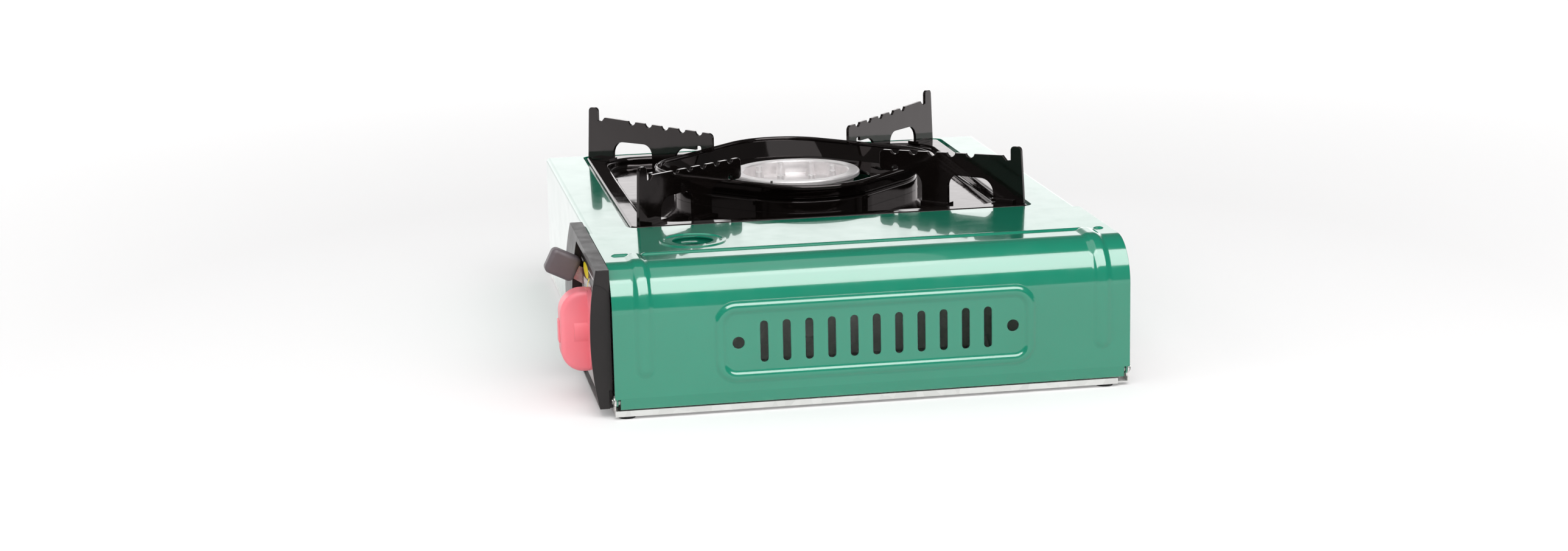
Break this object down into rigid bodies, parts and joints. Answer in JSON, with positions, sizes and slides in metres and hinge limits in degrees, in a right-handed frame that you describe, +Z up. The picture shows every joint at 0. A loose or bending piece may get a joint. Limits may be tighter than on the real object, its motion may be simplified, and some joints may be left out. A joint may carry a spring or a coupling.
{
  "type": "portable gas stove",
  "caption": "Portable single-burner butane stove with a hinged cartridge cover, lift-off pan with pot supports, ignition knob and cartridge lock lever.",
  "frame": {"origin": "centre of the rectangular body's footprint, at the height of the feet's undersides (the table)", "axes": "+X to the right as seen from the control panel, +Y to the back, +Z up"},
  "size_m": [0.3462, 0.3022, 0.11],
  "materials": {
    "green_enamel": "semi-gloss green baked enamel",
    "galvanised_steel": "satin galvanised sheet",
    "black_enamel": "glossy black vitreous enamel",
    "black_plastic": "smooth black moulded plastic",
    "panel_sheet": "printed satin plate with a black upper band",
    "red_plastic": "smooth red moulded plastic",
    "grey_plastic": "dark grey moulded plastic",
    "zinc_steel": "bright zinc-plated steel",
    "aluminium": "turned bright aluminium",
    "cast_alloy": "rough die-cast alloy",
    "brass": "turned brass",
    "black_rubber": "matt rubber",
    "ceramic": "white glazed ceramic"
  },
  "bodies": {
    "base": {"base_tray": "galvanised_steel", "rubber_feet": "black_rubber", "body_shell": "green_enamel", "divider_panel": "galvanised_steel", "bay_front_plate": "galvanised_steel", "bay_rear_plate": "galvanised_steel", "cartridge_saddles": "galvanised_steel", "cover_hinge_pins": "zinc_steel", "burner_body": "cast_alloy", "burner_head": "aluminium", "mixing_tube": "cast_alloy", "burner_bracket": "galvanised_steel", "burner_screws": "zinc_steel", "regulator_body": "cast_alloy", "regulator_diaphragm": "black_rubber", "regulator_cover": "zinc_steel", "regulator_screws": "zinc_steel", "cartridge_stop_plate": "galvanised_steel", "inlet_nozzle": "brass", "inlet_seal": "black_rubber", "piezo_igniter": "grey_plastic", "gas_pipe": "zinc_steel", "gas_jet": "brass", "electrode_insulator": "ceramic", "electrode_tip": "zinc_steel", "electrode_clip": "zinc_steel", "control_housing": "black_plastic", "control_face_plate": "panel_sheet", "housing_screws": "zinc_steel", "lever_pivot_pin": "zinc_steel", "lever_bracket": "galvanised_steel", "push_bar_guides": "galvanised_steel", "ignition_wire": "black_rubber"},
    "cover": {"cartridge_cover": "green_enamel"},
    "knob": {"control_knob": "red_plastic", "valve_spindle": "brass", "ignition_cam": "grey_plastic"},
    "plunger": {"igniter_plunger": "grey_plastic"},
    "lever": {"lock_lever": "zinc_steel", "lever_grip": "grey_plastic", "lever_link_pin": "zinc_steel"},
    "push": {"push_bar": "zinc_steel", "push_plate": "galvanised_steel"},
    "trivet": {"drip_pan": "black_enamel", "windshield_ring": "black_enamel", "pot_support_rear_right": "black_enamel", "pot_support_rear_left": "black_enamel", "pot_support_front_left": "black_enamel", "pot_support_front_right": "black_enamel"}
  },
  "joints": [
    {"name": "cover_hinge", "type": "hinge", "parent": "base", "child": "cover", "pos_m": [0.1685, 0, 0.009], "axis": [0, 1, 0], "range_deg": [0, 90]},
    {"name": "knob_turn", "type": "hinge", "parent": "base", "child": "knob", "pos_m": [0.1245, -0.13, 0.038], "axis": [0, -1, 0], "range_deg": [0, 150]},
    {"name": "plunger_slide", "type": "slide", "parent": "base", "child": "plunger", "axis": [1, 0, 0], "range_m": [0, 0.004]},
    {"name": "lever_press", "type": "hinge", "parent": "base", "child": "lever", "pos_m": [0.084, -0.112, 0.03], "axis": [1, 0, 0], "range_deg": [0, 25], "stiffness_Nm_per_rad": 0.15, "springref_deg": -20.05},
    {"name": "push_slide", "type": "slide", "parent": "base", "child": "push", "axis": [0, -1, 0], "range_m": [0, 0.00866]},
    {"name": "trivet_lift", "type": "slide", "parent": "base", "child": "trivet", "axis": [0, 0, 1], "range_m": [0, 0.06]}
  ],
  "couplings": [
    {"joint": "plunger_slide", "follows": "knob_turn", "m_per_rad": 0.0015279},
    {"joint": "push_slide", "follows": "lever_press", "m_per_rad": 0.019847}
  ]
}
